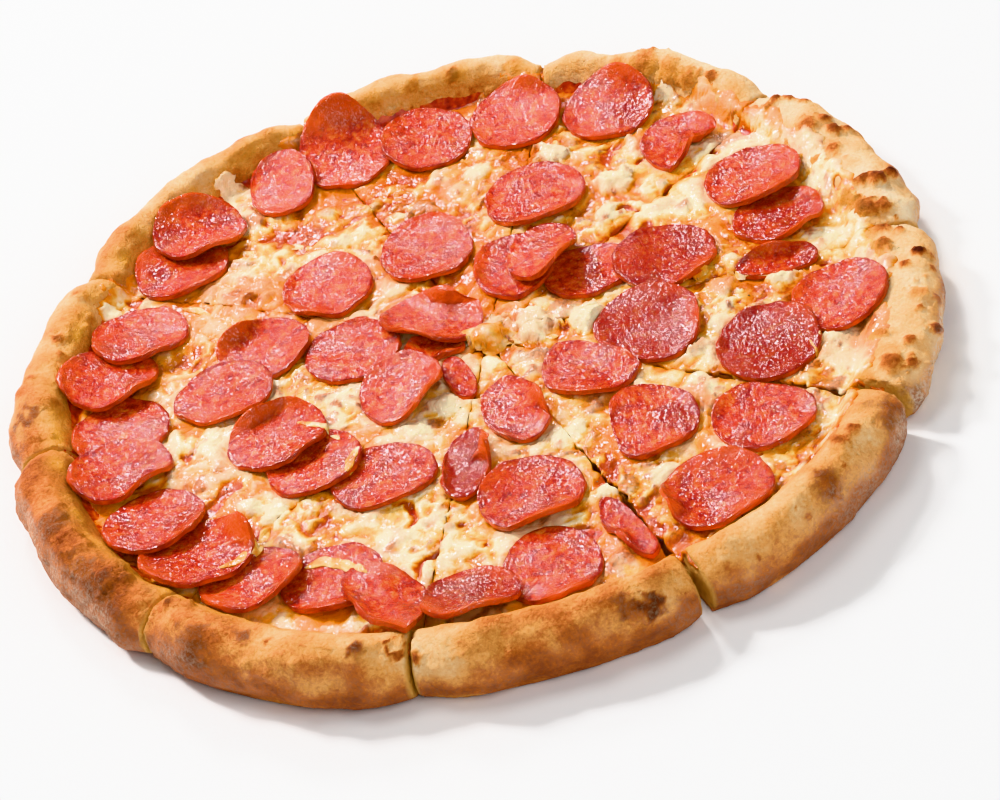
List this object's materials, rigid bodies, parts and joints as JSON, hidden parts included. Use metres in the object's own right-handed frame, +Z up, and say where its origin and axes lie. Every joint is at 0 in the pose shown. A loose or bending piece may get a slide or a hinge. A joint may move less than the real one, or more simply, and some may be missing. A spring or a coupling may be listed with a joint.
{
  "type": "sliced pepperoni pizza",
  "caption": "Round baked pizza with a raised crust, melted cheese and curled slices of pepperoni, cut into wedges that still lie together as a whole.",
  "frame": {"origin": "centre of the flat underside, on the surface that the pizza lies on", "axes": "+Z up through the topping; +X along the cut between slice_10 and slice_01; the slices are numbered anticlockwise seen from above"},
  "size_m": [0.3488, 0.3458, 0.0289],
  "materials": {
    "baked_dough": "baked dough under glossy melted cheese, matte crust",
    "pepperoni": "oily cured sausage, satin to glossy"
  },
  "bodies": {
    "root": {"slice_01": "baked_dough", "slice_02": "baked_dough", "slice_03": "baked_dough", "slice_04": "baked_dough", "slice_05": "baked_dough", "slice_06": "baked_dough", "slice_07": "baked_dough", "slice_08": "baked_dough", "slice_09": "baked_dough", "slice_10": "baked_dough", "pepperoni_01": "pepperoni", "pepperoni_02": "pepperoni", "pepperoni_03": "pepperoni", "pepperoni_04": "pepperoni", "pepperoni_05": "pepperoni", "pepperoni_06": "pepperoni", "pepperoni_07": "pepperoni", "pepperoni_08": "pepperoni", "pepperoni_09": "pepperoni", "pepperoni_10": "pepperoni", "pepperoni_11": "pepperoni", "pepperoni_12": "pepperoni", "pepperoni_13": "pepperoni", "pepperoni_14": "pepperoni", "pepperoni_15": "pepperoni", "pepperoni_16": "pepperoni", "pepperoni_17": "pepperoni", "pepperoni_18": "pepperoni", "pepperoni_19": "pepperoni", "pepperoni_20": "pepperoni", "pepperoni_21": "pepperoni", "pepperoni_22": "pepperoni", "pepperoni_23": "pepperoni", "pepperoni_24": "pepperoni", "pepperoni_25": "pepperoni", "pepperoni_26": "pepperoni", "pepperoni_27": "pepperoni", "pepperoni_28": "pepperoni", "pepperoni_29": "pepperoni", "pepperoni_30": "pepperoni", "pepperoni_31": "pepperoni", "pepperoni_32": "pepperoni", "pepperoni_33": "pepperoni", "pepperoni_34": "pepperoni", "pepperoni_35": "pepperoni", "pepperoni_36": "pepperoni", "pepperoni_37": "pepperoni", "pepperoni_38": "pepperoni", "pepperoni_39": "pepperoni", "pepperoni_40": "pepperoni", "pepperoni_41": "pepperoni", "pepperoni_42": "pepperoni", "pepperoni_43": "pepperoni", "pepperoni_44": "pepperoni", "pepperoni_45": "pepperoni", "pepperoni_46": "pepperoni", "pepperoni_47": "pepperoni", "pepperoni_48": "pepperoni", "pepperoni_49": "pepperoni", "pepperoni_50": "pepperoni"}
  },
  "joints": []
}
